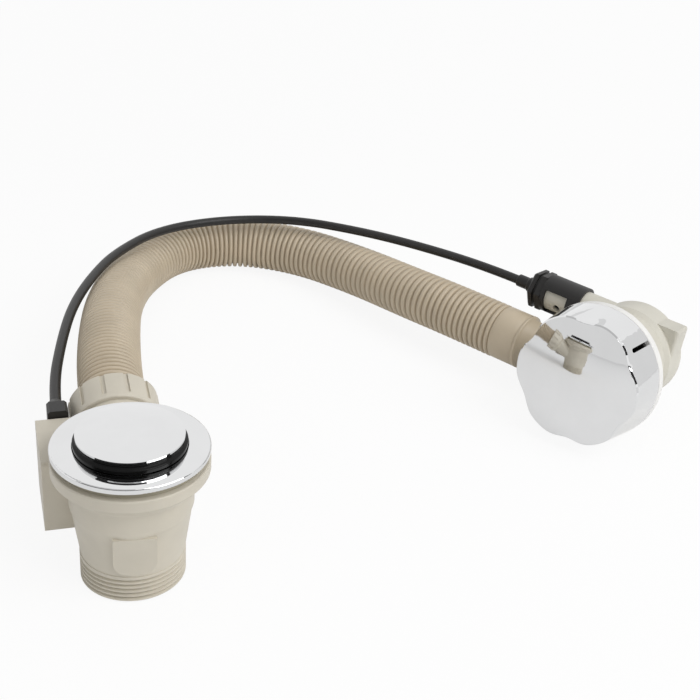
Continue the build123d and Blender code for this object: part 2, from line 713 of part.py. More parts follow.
def cable_gland():
    """Black block and cone that hold the cable's sheath behind the box and stand above its top."""
    stub = rod(GLAND_STUB_D, -BOX_WALL, 0)
    body = block((-GLAND_W / 2, -GLAND_RISE, 0), (GLAND_W / 2, GLAND_DROP, GLAND_LEN))
    body = chamfer(body.edges().filter_by(Axis.Z), GLAND_CHAMFER)
    half_h = (GLAND_RISE + GLAND_DROP) / 2
    cone = loft([
        Pos(0, GLAND_DROP - half_h, GLAND_LEN) * Ellipse(GLAND_W / 2 - GLAND_LIP, half_h - GLAND_LIP),
        Pos(0, 0, GLAND_LEN + GLAND_CONE) * Circle(SHEATH_D / 2 + GLAND_LIP),
    ])
    seat = rod(SHEATH_D + 2 * SHAFT_FIT, SHEATH_SEAT, GLAND_LEN + GLAND_CONE)
    return GLAND * (stub + body + cone - seat - rod(SHEATH_BORE_D, -BOX_WALL, SHEATH_SEAT))


def hose_nut():
    """Fluted nut that clamps the hose to the branch."""
    end = NUT_START + NUT_LEN
    thread_r = BRANCH_THREAD_D / 2 + SLIDE_FIT
    hole_r = HOSE_D / 2 + 2 * SLACK
    nut = turned(
        [
            (thread_r, NUT_START),
            (NUT_D / 2, NUT_START),
            (NUT_D / 2, end),
            (hole_r, end),
            (hole_r, end - NUT_WALL),
            (thread_r, end - NUT_WALL - NUT_CONE),
        ],
        rounds=((1, NUT_ROUND), (2, NUT_ROUND)),
    )
    flute = Pos(NUT_D / 2, 0, NUT_START + NUT_BEAD) * Box(2 * FLUTE_DEPTH, FLUTE_W, NUT_LEN, align=BASE)
    for number in range(NUT_FLUTES):
        nut -= Rot(0, 0, 15 + number * 360 / NUT_FLUTES) * flute
    return BRANCH * nut


def hose_olive():
    """Rubber ring pressed round the hose between the branch and the nut."""
    inner = HOSE_D / 2 + SHAFT_FIT
    outer = BRANCH_THREAD_D / 2 - SLIDE_FIT
    tip = HOSE_D / 2 + 2 * SLACK - SLIDE_FIT
    wall = NUT_START + NUT_LEN - NUT_WALL
    return BRANCH * turned([
        (inner, BRANCH_END),
        (outer, BRANCH_END),
        (outer, wall - NUT_CONE),
        (tip, wall),
        (inner, wall),
    ])


def overflow_body():
    """Off-white body: wall flange, water chamber, hose and cable spigots, and drive housing."""
    chamber_r = CHAMBER_D / 2 + CHAMBER_WALL
    flange_r = WALL_SEAL_D / 2 - WALL_FLANGE_INSET
    body = turned(
        [
            (0, 0),
            (flange_r, 0),
            (flange_r, -WALL_FLANGE_T),
            (chamber_r + CHAMBER_FLARE, -WALL_FLANGE_T),
            (chamber_r, -WALL_FLANGE_T - CHAMBER_FLARE),
            (chamber_r, DRIVE_FRONT + 2 * (DRIVE_D / 2 - chamber_r)),
            (DRIVE_D / 2, DRIVE_FRONT + DRIVE_ROUND),
            (DRIVE_D / 2, DRIVE_REAR),
            (0, DRIVE_REAR),
        ],
        rounds=((7, DRIVE_ROUND),),
    )
    body += INLET * turned([
        (0, 0),
        (INLET_ROOT_D / 2, 0),
        (INLET_ROOT_D / 2, INLET_SHOULDER),
        (INLET_SPIGOT_D / 2, INLET_SHOULDER),
        (INLET_SPIGOT_D / 2, INLET_SHOULDER + INLET_SPIGOT_LEN - INLET_TAPER),
        (INLET_SPIGOT_D / 2 - INLET_TAPER / 3, INLET_SHOULDER + INLET_SPIGOT_LEN),
        (0, INLET_SHOULDER + INLET_SPIGOT_LEN),
    ])
    body += CABLE_END * rod(SPIGOT_D, 0, SPIGOT_END)
    end_block = block(
        (0, END_BLOCK_LOW, -CABLE_DEPTH - END_BLOCK_W / 2),
        (END_BLOCK_X, END_BLOCK_TOP, -CABLE_DEPTH + END_BLOCK_W / 2),
    )
    end_block = fillet(end_block.edges().group_by(Axis.X)[-1], END_BLOCK_ROUND)
    body += end_block

    drive_r = DRIVE_D / 2 - CHAMBER_WALL
    chamber = rod(CHAMBER_D, CHAMBER_REAR, 1) - rod(BUSH_D, CHAMBER_REAR, 1)
    drive = rod(2 * drive_r, DRIVE_REAR - 1, DRIVE_FRONT)
    inlet = INLET * rod(INLET_BORE_D, CHAMBER_D / 2 - INLET_BORE_ROOT, INLET_SHOULDER + INLET_SPIGOT_LEN + 1)
    wire_way = CABLE_END * rod(SPIGOT_BORE_D, 0, SPIGOT_END + 1)
    body -= chamber + drive + inlet + wire_way

    hole_at = Location((0, 0, SPIGOT_HOLE_X), (0, 90, 0))
    body -= CABLE_END * Rot(0, 0, SPIGOT_HOLE_TURN) * hole_at * rod(SPIGOT_HOLE_D, 0, SPIGOT_D)

    body += rod(BUSH_D, CHAMBER_REAR, BUSH_FRONT)
    body -= rod(SPINDLE_D + 2 * SHAFT_FIT, DRIVE_FRONT, BUSH_FRONT)
    ring_bore = SPINDLE_D + 2 * RING_CORD + 4 * SHAFT_FIT
    body -= rod(ring_bore, BUSH_FRONT - RING_CORD - SLACK, BUSH_FRONT)
    for place in rear_screw_places():
        post = place * rod(COVER_BOSS_D, DRIVE_WALL, DRIVE_FRONT - DRIVE_REAR)
        body += post - place * rod(COVER_SCREW_D, 0, REAR_SCREW_LEN)
    return OVERFLOW * body


def rear_screw_places():
    """Places of the rear cover's screws, on its outer face and pointing forward."""
    angles = (200, 270, 340)
    spots = [(REAR_SCREW_R * cos(radians(a)), REAR_SCREW_R * sin(radians(a))) for a in angles]
    return [Pos(x, y, DRIVE_REAR) for x, y in spots]


def rear_cover():
    """Disc that closes the drive housing."""
    radius = DRIVE_D / 2 - CHAMBER_WALL - SHAFT_FIT
    cover = rod(2 * radius, DRIVE_REAR, DRIVE_REAR + DRIVE_WALL)
    for place in rear_screw_places():
        cover -= place * Rot(180, 0, 0) * countersunk_screw(COVER_SCREW_D, COVER_HEAD_D, DRIVE_WALL)
    return OVERFLOW * cover


def rear_screws():
    """Countersunk screws of the rear cover."""
    screw = Rot(180, 0, 0) * countersunk_screw(COVER_SCREW_D, COVER_HEAD_D, REAR_SCREW_LEN)
    return Compound(children=[OVERFLOW * place * screw for place in rear_screw_places()])


def overflow_seal():
    """White ring between the body's flange and the bath wall."""
    return OVERFLOW * turned(
        [
            (CHAMBER_D / 2 + WALL_SEAL_LEDGE, 0),
            (WALL_SEAL_D / 2, 0),
            (WALL_SEAL_D / 2, WALL_SEAL_T),
            (CHAMBER_D / 2 + WALL_SEAL_LEDGE, WALL_SEAL_T),
        ],
        rounds=((2, WALL_SEAL_ROUND),),
    )


def clamp_plate():
    """Slotted plate that pulls the body against the bath wall."""
    plate = rod(CLAMP_D, WALL_SEAL_T, WALL_SEAL_T + CLAMP_T)
    plate -= rod(BUSH_D + 2 * SHAFT_FIT, WALL_SEAL_T, WALL_SEAL_T + CLAMP_T)
    slot = SlotOverall(CLAMP_SLOT_LEN, CLAMP_SLOT_W, rotation=90)
    slot = extrude(Pos(CHAMBER_D / 2 - CLAMP_SLOT_IN, 0) * slot, CLAMP_T)
    for number in range(CLAMP_SLOTS):
        plate -= Rot(0, 0, number * 360 / CLAMP_SLOTS) * Pos(0, 0, WALL_SEAL_T) * slot
    return OVERFLOW * plate


def clamp_nut():
    """Lobed ring nut on the body's bush."""
    low = WALL_SEAL_T + CLAMP_T
    nut = rod(CLAMP_NUT_D - 2 * CLAMP_LUG_RISE, low, low + CLAMP_NUT_T)
    lug_len = 3 * CLAMP_LUG_RISE
    lug = Pos((CLAMP_NUT_D - lug_len) / 2, 0, low) * Box(lug_len, CLAMP_LUG_W, CLAMP_NUT_T, align=BASE)
    for number in range(CLAMP_LUGS):
        nut += Rot(0, 0, 45 + number * 360 / CLAMP_LUGS) * lug
    return OVERFLOW * (nut - rod(BUSH_D + 2 * SHAFT_FIT, low, low + CLAMP_NUT_T))


def lobed_outline(diameter, scallop):
    """Closed smooth outline with shallow scallops between wide lobes."""
    points = []
    for number in range(KNOB_LOBES * LOBE_POINTS):
        angle = number * 2 * pi / (KNOB_LOBES * LOBE_POINTS)
        dip = ((1 + cos(KNOB_LOBES * (angle - radians(KNOB_TURN)))) / 2) ** 2
        radius = diameter / 2 - scallop * dip
        points.append((radius * cos(angle), radius * sin(angle)))
    return make_face(Spline(*points, periodic=True))


def knob():
    """Chrome knob: round skirt that runs into a slightly domed scalloped face, hollow behind."""
    face_low = KNOB_FACE - KNOB_EDGE
    shell = loft([
        Pos(0, 0, KNOB_REAR) * Circle(KNOB_REAR_D / 2),
        Pos(0, 0, face_low) * lobed_outline(KNOB_FACE_D, KNOB_SCALLOP),
    ])
    shell += loft([
        Pos(0, 0, face_low) * lobed_outline(KNOB_FACE_D, KNOB_SCALLOP),
        Pos(0, 0, KNOB_FACE) * lobed_outline(KNOB_FACE_D - 2 * KNOB_EDGE, KNOB_SCALLOP),
    ])
    ball_r = ((KNOB_FACE_D / 2) ** 2 + KNOB_DOME ** 2) / (2 * KNOB_DOME)
    crown = extrude(Pos(0, 0, KNOB_FACE) * lobed_outline(KNOB_FACE_D - 2 * KNOB_EDGE, KNOB_SCALLOP), KNOB_DOME)
    shell += crown & Pos(0, 0, KNOB_FACE + KNOB_DOME - ball_r) * Sphere(ball_r)
    inner_face = KNOB_FACE_D / 2 - KNOB_SCALLOP - KNOB_WALL
    hollow = turned([
        (0, KNOB_REAR),
        (KNOB_REAR_D / 2 - KNOB_WALL, KNOB_REAR),
        (inner_face, KNOB_FACE - KNOB_WALL),
        (0, KNOB_FACE - KNOB_WALL),
    ])
    hub = rod(KNOB_HUB_D, BUSH_FRONT + SLACK, KNOB_FACE - KNOB_WALL)
    square = Pos(0, 0, BUSH_FRONT + SLACK) * Box(SPINDLE_SQUARE, SPINDLE_SQUARE, SPINDLE_NOSE + 1, align=BASE)
    slot_at = Plane(origin=(KNOB_REAR_D / 2, 0, KNOB_REAR), x_dir=(0, 0, 1), z_dir=(1, 0, 0))
    slot = extrude(slot_at * SlotOverall(2 * KNOB_SLOT_LEN, KNOB_SLOT_W), KNOB_SLOT_REACH / 2, both=True)
    slot = Rot(0, 0, KNOB_SLOT_TURN) * slot
    return OVERFLOW * (shell - hollow - slot + hub - square)


def spindle():
    """Spindle from the knob's hub to the drive arm, square at both ends."""
    front = Pos(0, 0, BUSH_FRONT) * Box(SPINDLE_SQUARE, SPINDLE_SQUARE, SPINDLE_NOSE, align=BASE)
    shaft = rod(SPINDLE_D, DRIVE_FRONT - SLACK, BUSH_FRONT + SLACK)
    end = DRIVE_ARM_FRONT - DRIVE_T
    rear = Pos(0, 0, end) * Box(SPINDLE_SQUARE, SPINDLE_SQUARE, DRIVE_T + 1, align=BASE)
    hole = rod(COVER_SCREW_D, end, DRIVE_FRONT + DRIVE_SCREW_BITE + 1)
    return OVERFLOW * (front + shaft + rear - hole)


def spindle_ring():
    """Rubber ring round the spindle at the front of the bush."""
    inner = SPINDLE_D + 2 * SHAFT_FIT
    return OVERFLOW * seal_ring(inner, RING_CORD, BUSH_FRONT - RING_CORD / 2 - SHAFT_FIT)


def drive_arm():
    """Arm on the spindle with the pin that moves the upper slider."""
    rear = DRIVE_ARM_FRONT - DRIVE_T
    arm = arm_plate(DRIVE_HUB_D, DRIVE_END_D, DRIVE_PIN_AT, rear, DRIVE_ARM_FRONT)
    arm -= Pos(0, 0, rear) * Box(SPINDLE_SQUARE, SPINDLE_SQUARE, DRIVE_T, align=BASE)
    pin_end = -CABLE_DEPTH - UPPER_SLIDER_T / 2
    return OVERFLOW * (arm + Pos(*DRIVE_PIN_AT) * rod(DRIVE_PIN_D, pin_end, rear))


def drive_screw():
    """Screw that holds the drive arm on the spindle."""
    low = DRIVE_ARM_FRONT - DRIVE_T
    head = rod(ARM_SCREW_HEAD_D, low - ARM_SCREW_HEAD_H, low)
    head = fillet(head.edges().sort_by(Axis.Z)[0], ARM_SCREW_ROUND)
    return OVERFLOW * (head + rod(COVER_SCREW_D, low, DRIVE_FRONT + DRIVE_SCREW_BITE))


def upper_slider():
    """Sliding fork at the wire's upper end, moved by the drive arm's pin."""
    middle = -CABLE_DEPTH
    pin_x = DRIVE_PIN_AT[0]
    body = block(
        (pin_x - SLIDER_TAIL, UPPER_SLIDER_LOW, middle - UPPER_SLIDER_T / 2),
        (pin_x + SLIDER_NOSE, UPPER_SLIDER_TOP, middle + UPPER_SLIDER_T / 2),
    )
    slot_w = DRIVE_PIN_D / 2 + SLOT_FIT
    slot = block(
        (pin_x - slot_w, UPPER_SLIDER_LOW, middle - UPPER_SLIDER_T),
        (pin_x + slot_w, DRIVE_R + DRIVE_PIN_D / 2 + 2 * SLACK, middle + UPPER_SLIDER_T),
    )
    pocket = Pos(UPPER_NIPPLE_X, CABLE_Y, 0) * rod(NIPPLE_D, middle - NIPPLE_LEN / 2, middle + UPPER_SLIDER_T)
    groove = block(
        (-SPIGOT_END, CABLE_Y - WIRE_D / 2, middle - WIRE_D / 2),
        (UPPER_NIPPLE_X, CABLE_Y + WIRE_D / 2, middle + UPPER_SLIDER_T),
    )
    return OVERFLOW * (body - slot - pocket - groove)


def upper_wire():
    """Inner wire with its barrel end in the upper slider, running into the sheath."""
    middle = -CABLE_DEPTH
    nipple = rod(NIPPLE_D, middle - NIPPLE_LEN / 2, middle + NIPPLE_LEN / 2)
    nipple = Pos(UPPER_NIPPLE_X, CABLE_Y, 0) * nipple
    end = SPIGOT_END + SLEEVE_CAP + COLLAR_LEN + WIRE_STROKE + 2 * WIRE_ENTRY
    run = CABLE_END * rod(WIRE_D, -UPPER_NIPPLE_X, end)
    return OVERFLOW * (nipple + run)


def cable_sleeve():
    """Black sleeve on the cable spigot, open at the lower front."""
    sleeve = rod(SLEEVE_D, SLEEVE_END, SPIGOT_END + SLEEVE_CAP)
    sleeve -= rod(SPIGOT_D + 2 * SHAFT_FIT, SLEEVE_END, SPIGOT_END)
    sleeve -= rod(SHEATH_BORE_D, SPIGOT_END, SPIGOT_END + SLEEVE_CAP)
    opening = Box(SLEEVE_D, SLEEVE_D, SLEEVE_WINDOW, align=BASE)
    window = Pos(-SLEEVE_D / 2, -SLEEVE_D / 2, SPIGOT_END - SLEEVE_WINDOW - SLEEVE_RIM) * opening
    return OVERFLOW * CABLE_END * (sleeve - Rot(0, 0, SLEEVE_WINDOW_TURN) * window)


def cable_nut():
    """Black six-sided collar behind the sleeve, with a groove round it."""
    start = SPIGOT_END + SLEEVE_CAP
    outline = RegularPolygon(COLLAR_AF / 2, 6, major_radius=False, rotation=30) - Circle(SHEATH_BORE_D / 2)
    collar = Pos(0, 0, start) * extrude(outline, COLLAR_LEN)
    collar = chamfer(collar.edges().group_by(Axis.Z)[-1].filter_by(GeomType.LINE), COLLAR_CHAMFER)
    low = start + (COLLAR_LEN - COLLAR_GROOVE) / 2
    high = low + COLLAR_GROOVE
    collar -= rod(2 * COLLAR_AF, low, high) - rod(COLLAR_AF - 2 * COLLAR_GROOVE_DEPTH, low, high)
    return OVERFLOW * CABLE_END * collar


def cable_ferrule():
    """Stepped taper that grips the end of the cable's sheath."""
    start = SPIGOT_END + SLEEVE_CAP + COLLAR_LEN
    body = turned([
        (0, start),
        (FERRULE_D / 2 + FERRULE_RIM, start),
        (FERRULE_D / 2 + FERRULE_RIM, start + FERRULE_STEP),
        (FERRULE_D / 2, start + FERRULE_STEP + FERRULE_RIM),
        (FERRULE_D / 2, start + FERRULE_LEN - FERRULE_WALL / 2),
        (FERRULE_D / 2 - FERRULE_WALL / 2, start + FERRULE_LEN),
        (0, start + FERRULE_LEN),
    ])
    body -= rod(SHEATH_D + 2 * SHAFT_FIT, start + SHEATH_SEAT, start + FERRULE_LEN)
    body -= rod(SHEATH_BORE_D, start, start + SHEATH_SEAT)
    return OVERFLOW * CABLE_END * body


hose_start = [BRANCH * Pos(0, 0, HOSE_SOCKET), BRANCH * Pos(0, 0, HOSE_SOCKET + HOSE_LEAD)]
inlet = OVERFLOW * INLET
hose_end = [inlet * Pos(0, 0, INLET_SHOULDER + HOSE_TAIL), inlet * Pos(0, 0, INLET_SHOULDER)]
hose, hose_path, hose_radii = cord_tube(hose_start, HOSE_BENDS, hose_end, HOSE_D, HOSE_BORE_D)
sheath_seat = SPIGOT_END + SLEEVE_CAP + COLLAR_LEN + SHEATH_SEAT
sheath_start = [GLAND * Pos(0, 0, SHEATH_SEAT), GLAND * Pos(0, 0, SHEATH_SEAT + CABLE_LEAD)]
cable_end = OVERFLOW * CABLE_END
sheath_end = [cable_end * Pos(0, 0, sheath_seat + CABLE_LEAD), cable_end * Pos(0, 0, sheath_seat)]
sheath, sheath_path, sheath_radii = cord_tube(sheath_start, CABLE_BENDS, sheath_end, SHEATH_D, SHEATH_BORE_D)

PARTS = {
    "waste_body": waste_body(),
    "waste_flange": waste_flange(),
    "bath_washer": bath_washer(),
    "plug_guide": plug_guide(),
    "plug_cap": plug_cap(),
    "plug_seal": plug_seal(),
    "plug_carrier": plug_carrier(),
    "adjusting_screw": adjusting_screw(),
    "adjusting_nut": adjusting_nut(),
    "lift_crank": lift_crank(),
    "shaft_ring": shaft_ring(),
    "lift_arm": lift_arm(),
    "arm_screw": arm_screw(),
    "lower_slider": lower_slider(),
    "lower_wire": lower_wire(),
    "crank_cover": crank_cover(),
    "cover_screws": cover_screws(),
    "cable_gland": cable_gland(),
    "hose_nut": hose_nut(),
    "hose_olive": hose_olive(),
    "overflow_hose": hose,
    "cable_sheath": sheath,
    "overflow_body": overflow_body(),
    "rear_cover": rear_cover(),
    "rear_screws": rear_screws(),
    "overflow_seal": overflow_seal(),
    "clamp_plate": clamp_plate(),
    "clamp_nut": clamp_nut(),
    "knob": knob(),
    "spindle": spindle(),
    "spindle_ring": spindle_ring(),
    "drive_arm": drive_arm(),
    "drive_screw": drive_screw(),
    "upper_slider": upper_slider(),
    "upper_wire": upper_wire(),
    "cable_sleeve": cable_sleeve(),
    "cable_nut": cable_nut(),
    "cable_ferrule": cable_ferrule(),
}

for name, shape in PARTS.items():
    export_step(shape, f"parts/{name}.step")

for name, path, radii, diameter, bore, shape in (
    ("hose", hose_path, hose_radii, HOSE_D, HOSE_BORE_D, hose),
    ("cable", sheath_path, sheath_radii, SHEATH_D, SHEATH_BORE_D, sheath),
):
    section = pi * (diameter ** 2 - bore ** 2) / 4
    print(name, "length", round(path.length, 1), "bend radii", [round(r) for r in radii])
    print(name, "volume over section times length", round(shape.volume / section / path.length, 4))
print("crank swing", round(degrees(2 * CRANK_SWING), 2), "wire stroke", round(WIRE_STROKE, 3))
print("knob turn", round(degrees(2 * DRIVE_SWING), 2))
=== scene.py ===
import bpy
import bmesh
import json
import math
from mathutils import Matrix, Vector


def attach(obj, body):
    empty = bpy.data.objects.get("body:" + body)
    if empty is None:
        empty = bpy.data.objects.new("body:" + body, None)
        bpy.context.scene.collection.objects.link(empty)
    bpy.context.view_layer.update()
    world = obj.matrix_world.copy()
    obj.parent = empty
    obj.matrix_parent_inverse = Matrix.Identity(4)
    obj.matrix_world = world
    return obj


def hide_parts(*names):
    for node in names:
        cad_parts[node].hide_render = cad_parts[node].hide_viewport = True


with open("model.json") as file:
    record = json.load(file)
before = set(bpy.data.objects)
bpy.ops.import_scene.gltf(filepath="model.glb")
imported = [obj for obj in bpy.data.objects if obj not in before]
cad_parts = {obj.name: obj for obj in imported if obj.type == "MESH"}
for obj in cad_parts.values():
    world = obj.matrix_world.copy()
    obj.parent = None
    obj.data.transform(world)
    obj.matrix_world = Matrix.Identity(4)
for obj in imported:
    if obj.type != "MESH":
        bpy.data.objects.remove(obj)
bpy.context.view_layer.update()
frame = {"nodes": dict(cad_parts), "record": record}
nodes = frame["nodes"]
scene = bpy.context.scene
ROOT = "waste_and_overflow"

# Routes of the two cords in metres, with the points of the solids
HOSE_ROUTE = [
    (0.0, 0.04657, 0.04261),
    (0.0, 0.07956, 0.05084),
    (0.0055, 0.1320, 0.0495),
    (0.0165, 0.2030, 0.0345),
    (0.0365, 0.2690, 0.0200),
    (0.0680, 0.3110, 0.0170),
    (0.1110, 0.3175, 0.0169),
    (0.1520, 0.2965, 0.0169),
    (0.1820, 0.2520, 0.0200),
    (0.2030, 0.2015, 0.0260),
    (0.22286, 0.16807, 0.02746),
    (0.26366, 0.11127, 0.02443),
]
CABLE_ROUTE = [
    (-0.0274, 0.0515, 0.0510),
    (-0.0274, 0.0815, 0.0510),
    (-0.0190, 0.1300, 0.0515),
    (-0.0095, 0.1710, 0.0505),
    (0.0055, 0.2110, 0.0485),
    (0.0230, 0.2460, 0.0460),
    (0.0550, 0.2860, 0.0420),
    (0.1005, 0.3030, 0.0395),
    (0.1475, 0.2945, 0.0405),
    (0.1835, 0.2625, 0.0440),
    (0.2120, 0.2245, 0.0485),
    (0.24227, 0.18148, 0.05136),
    (0.25976, 0.15714, 0.05006),
]
ROUTE_ORDER = 3
ROUTE_STEPS = 24
CABLE_D = 0.0055
CABLE_ROUNDNESS = 5

# Hose: radii of the ribs' crests, of the grooves and neck, of the inner wall and of the plain stretches
HOSE_R = 0.0163
HOSE_ROOT_R = 0.0141
HOSE_INNER_R = 0.0127
HOSE_PLAIN_R = HOSE_R - 0.0002
HOSE_SIDES = 48
# The ribs start this far from the waste, and stop this far from the overflow, where the cuff begins
HOSE_LEAD = 0.018
HOSE_CUFF = 0.0415
LEAD_GAP = 0.0004
# The cuff ends this far from the overflow, and a narrower neck goes on
HOSE_STEP = 0.0236
STEP_WIDTH = 0.0001
# One inner ring for so many outer ones
WALL_STRIDE = 12
# Share of the hose's length and the rib pitch there: bunched at both ends, drawn out between
RIB_PITCHES = [
    (0.00, 0.0028),
    (0.09, 0.0031),
    (0.16, 0.0047),
    (0.21, 0.0052),
    (0.37, 0.0052),
    (0.52, 0.0040),
    (0.58, 0.0040),
    (0.75, 0.0050),
    (0.86, 0.0038),
    (1.00, 0.0034),
]
# One rib: share of the pitch and share of the rib's height
RIB_SHAPE = [
    (0.09, 0.0),
    (0.13, 0.50),
    (0.21, 0.84),
    (0.36, 1.0),
    (0.64, 1.0),
    (0.79, 0.84),
    (0.87, 0.50),
    (0.91, 0.0),
]
# Start of the cuff and lip at its end: distance along the hose and rise over the plain radius
CUFF_START = [(0.0003, -0.0002), (0.0010, 0.0)]
CUFF_LIP = [
    (-0.0026, 0.0),
    (-0.0023, -0.0004),
    (-0.0019, -0.0004),
    (-0.0016, 0.0001),
    (-0.0003, 0.0001),
    (0.0, -0.0003),
]

# Outlet thread: the cutter starts below the outlet and stands out of the crests
THREAD_R = 0.0239
THREAD_DEPTH = 0.0013
THREAD_PITCH = 0.002309
THREAD_LOW = -0.003
THREAD_HIGH = 0.0128
THREAD_OUTSIDE = 0.0006
THREAD_STEPS = 72
# Groove: half widths at its mouth and floor in pitches, turns of its run-out, and angle at which it ends
THREAD_MOUTH = 0.46
THREAD_FLOOR = 0.12
THREAD_RUNOUT = 0.4
THREAD_END = math.pi / 2

# Edges of the solids: corners closer than the first are joined, edges sharper than the last are rounded
WELD_REACH = 0.000002
EDGE_ROUND = 0.00025
EDGE_SEGMENTS = 2
EDGE_ANGLE = math.radians(35.0)
# Turned chrome that keeps the normals of its solid
OWN_NORMALS = ("waste_flange", "plug_cap")

# Materials: noise values between which the tone changes, then plastic and metal
TONE_SPAN = (0.3, 0.7)
CLOUD_SCALE = 45.0
CLOUD_DETAIL = 4.0
FINE_DETAIL = 2.0
GLOSS_SPREAD = 0.05
GRAIN_STRENGTH = 0.25
GRAIN_DEPTH = 0.00004
SMEAR_ROUGHNESS = 0.6
SMEAR_TINT = 0.97
SCRATCH_RATIO = 30
SCRATCH_DEPTH = 0.00002
PLASTICS = {
    "beige_plastic": dict(colour=(0.64, 0.595, 0.50), rough=0.42),
    "hose_plastic": dict(colour=(0.545, 0.46, 0.34), rough=0.40, grain=700.0, tone=0.06),
    "offwhite_plastic": dict(colour=(0.655, 0.632, 0.555), rough=0.45),
    "black_plastic": dict(colour=(0.012, 0.011, 0.0105), rough=0.42, tone=0.12, shine=0.45),
    "white_rubber": dict(colour=(0.86, 0.85, 0.83), rough=0.55),
    "khaki_rubber": dict(colour=(0.40, 0.365, 0.27), rough=0.6),
    "black_rubber": dict(colour=(0.006, 0.006, 0.006), rough=0.16, tone=0.1, shine=0.14),
    "white_plastic": dict(colour=(0.78, 0.78, 0.76), rough=0.45),
}
METALS = {
    "chrome": dict(colour=(0.775, 0.778, 0.782), gloss=(0.012, 0.04)),
    "steel": dict(colour=(0.58, 0.58, 0.57), gloss=(0.25, 0.4), scale=140.0, scratches=0.1),
    "brass": dict(colour=(0.72, 0.55, 0.27), gloss=(0.2, 0.35), scale=140.0, scratches=0.1),
}

# World and floor: strength of the world as a light, and shares of their white that what shines sees
WORLD_LIGHT = 0.40
WORLD_MIRRORED = 1.0
FLOOR_MIRRORED = 0.4
FLOOR_HALF = 12.0
FLOOR_PLACE = (0.1, 0.1, -0.0004)
FLOOR_TONE = (0.94, 0.94, 0.94, 1)
FLOOR_ROUGH = 0.9
# The floor's own white grows between these distances from the origin
FLOOR_FADE = (0.6, 2.5)
FLOOR_WHITE = (0.90, 1.0)

# Studio screens round a centre: sweep in degrees, (radius, height) of both rims, brightness
SCREEN_CENTRE = (0.1, 0.05)
SCREEN_STEPS = 24
SCREENS = {
    "dark_screen": dict(sweep=(185, 350), low=(2.0, 0.8), high=(2.0, 2.1), level=0.03),
    "grey_screen": dict(sweep=(140, 420), low=(2.0, 0.0), high=(2.0, 0.5), level=0.82),
    "side_screen": dict(sweep=(350, 422), low=(2.0, 0.5), high=(2.0, 1.0), level=0.82),
    "roof_screen": dict(sweep=(128, 265), low=(1.8, 2.1), high=(0.05, 2.4), level=0.6),
}
LAMP_SIZE = 1.2
LAMPS = {
    "key": dict(place=(0.95, -0.8, 1.25), target=(0.1, 0.1, 0.0), power=16.2, mirrored=True),
    "fill": dict(place=(-0.9, -0.6, 1.0), target=(0.1, 0.1, 0.0), power=1.6),
    "top": dict(place=(0.15, 0.35, 1.6), target=(0.1, 0.15, 0.0), power=3.0),
}

# Camera fitted to the photograph, with its focal length in pixels of that picture
PHOTO_WIDTH = 700
FOCAL_PIXELS = 1250
SENSOR_WIDTH = 36.0
CAMERA_CLIP = (0.01, 20.0)
CAMERA_PLACE = (-0.0547, -0.4588, 0.3719)
CAMERA_RIGHT = (0.958, -0.280, 0.065)
CAMERA_BACK = (-0.275, -0.832, 0.482)


# Materials

def new_material(name):
    """Principled material with its node tree, shader and texture coordinates."""
    material = bpy.data.materials.new(name)
    material.use_nodes = True
    tree = material.node_tree
    shader = tree.nodes["Principled BSDF"]
    coord = tree.nodes.new("ShaderNodeTexCoord")
    return material, tree, shader, coord


def noise(tree, coord, scale, detail, roughness=0.5):
    """Noise on object coordinates, from 0 to 1."""
    node = tree.nodes.new("ShaderNodeTexNoise")
    node.inputs["Scale"].default_value = scale
    node.inputs["Detail"].default_value = detail
    node.inputs["Roughness"].default_value = roughness
    tree.links.new(coord.outputs["Object"], node.inputs["Vector"])
    return node.outputs["Fac"]


def tones(tree, source, first, second):
    """Colour that goes from one tone to another with a 0 to 1 value."""
    node = tree.nodes.new("ShaderNodeValToRGB")
    for element, position, colour in zip(node.color_ramp.elements, TONE_SPAN, (first, second)):
        element.position = position
        element.color = (*colour, 1)
    tree.links.new(source, node.inputs["Fac"])
    return node.outputs["Color"]


def span(tree, source, target, reach=(0.0, 1.0)):
    """Maps a value's reach to a target range."""
    node = tree.nodes.new("ShaderNodeMapRange")
    node.inputs["From Min"].default_value, node.inputs["From Max"].default_value = reach
    node.inputs["To Min"].default_value, node.inputs["To Max"].default_value = target
    tree.links.new(source, node.inputs["Value"])
    return node.outputs["Result"]


def bump(tree, shader, height, strength, distance):
    """Bump from a height value."""
    node = tree.nodes.new("ShaderNodeBump")
    node.inputs["Strength"].default_value = strength
    node.inputs["Distance"].default_value = distance
    tree.links.new(height, node.inputs["Height"])
    tree.links.new(node.outputs["Normal"], shader.inputs["Normal"])


def plastic(name, colour, rough, grain=900.0, tone=0.05, shine=0.5):
    """Moulded plastic: cloudy tone, fine spark-eroded grain and uneven gloss."""
    material, tree, shader, coord = new_material(name)
    dark = tuple(c * (1 - tone) for c in colour)
    pale = tuple(min(1.0, c * (1 + tone)) for c in colour)
    cloud = noise(tree, coord, CLOUD_SCALE, CLOUD_DETAIL)
    tree.links.new(tones(tree, cloud, dark, pale), shader.inputs["Base Color"])
    fine = noise(tree, coord, grain, FINE_DETAIL)
    gloss = span(tree, fine, (rough - GLOSS_SPREAD, rough + GLOSS_SPREAD))
    tree.links.new(gloss, shader.inputs["Roughness"])
    bump(tree, shader, fine, GRAIN_STRENGTH, GRAIN_DEPTH)
    shader.inputs["Specular IOR Level"].default_value = shine
    return material


